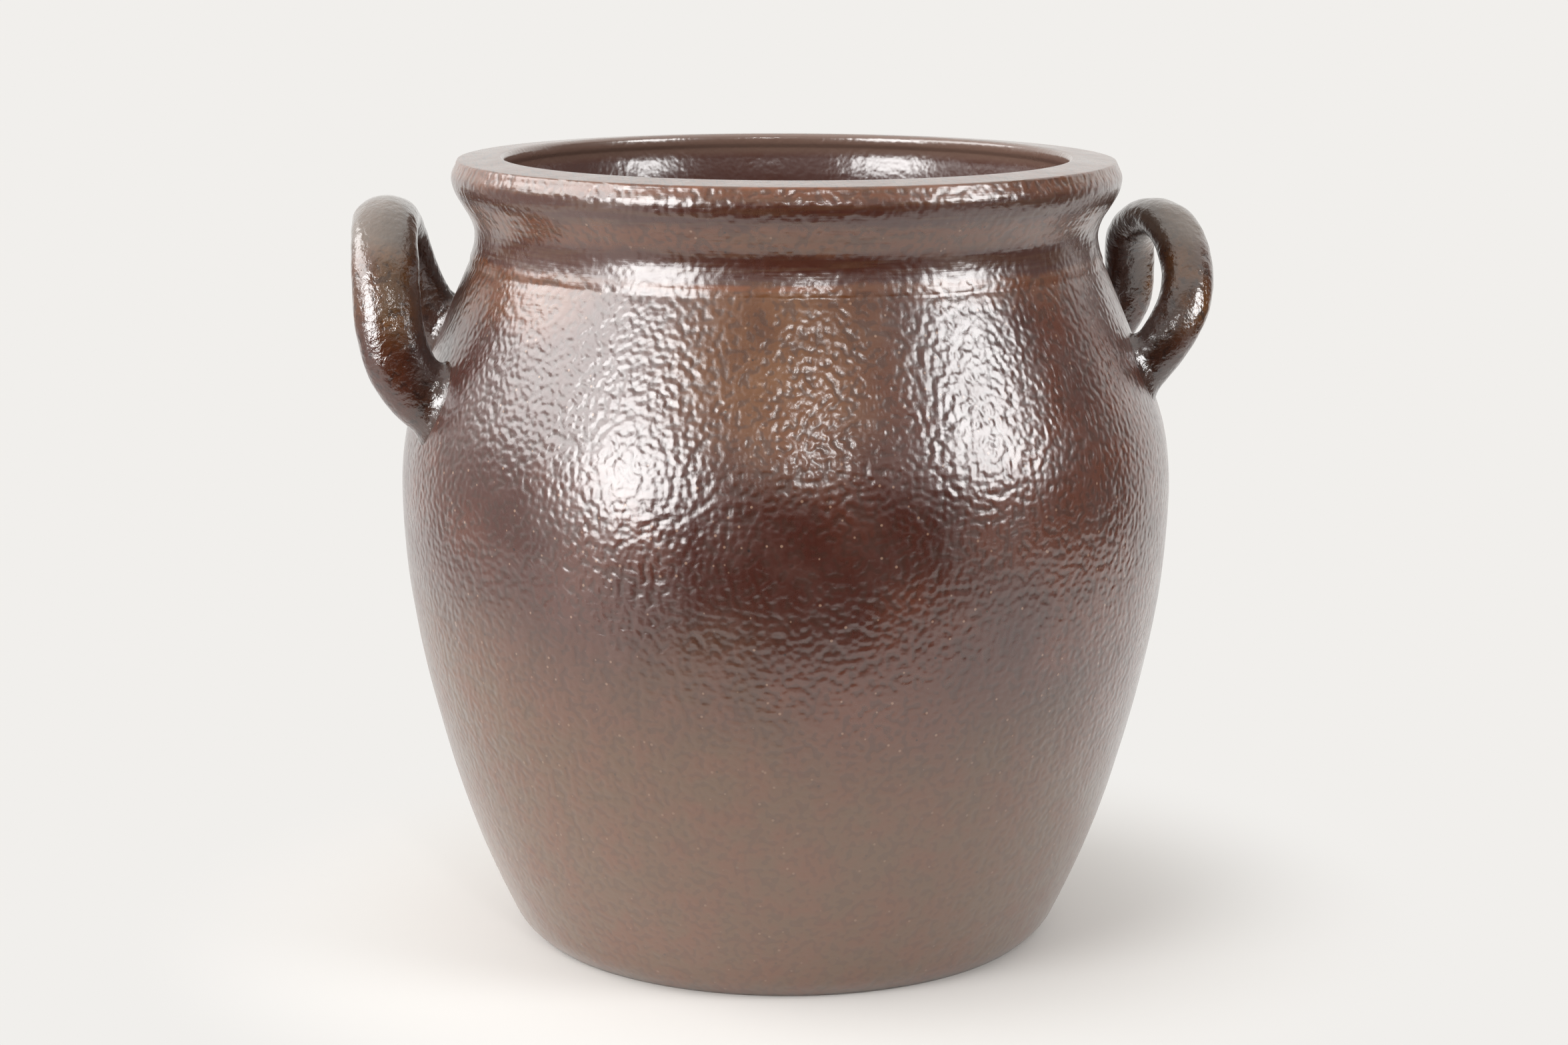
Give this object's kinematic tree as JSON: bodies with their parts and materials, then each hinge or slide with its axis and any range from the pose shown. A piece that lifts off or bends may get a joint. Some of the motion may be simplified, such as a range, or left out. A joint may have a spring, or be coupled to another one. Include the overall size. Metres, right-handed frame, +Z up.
{
  "type": "two-handled stoneware storage jar",
  "caption": "Wide-mouthed, salt-glazed stoneware jar with a full belly, turned collar, rolled rim and an upright loop handle on each side of the shoulder.",
  "frame": {"origin": "middle of the flat foot that the jar stands on", "axes": "+Z up along the jar's axis, handles at +X and -X, front at -Y"},
  "size_m": [0.2604, 0.2362, 0.24],
  "materials": {
    "salt_glaze": "glossy salt glaze with an orange-peel surface",
    "handle_glaze": "glossy salt glaze, smoother and darker than the wall"
  },
  "bodies": {
    "root": {"jar_body": "salt_glaze", "left_handle": "handle_glaze", "right_handle": "handle_glaze", "left_front_luting": "handle_glaze", "left_back_luting": "handle_glaze", "right_front_luting": "handle_glaze", "right_back_luting": "handle_glaze"}
  },
  "joints": []
}
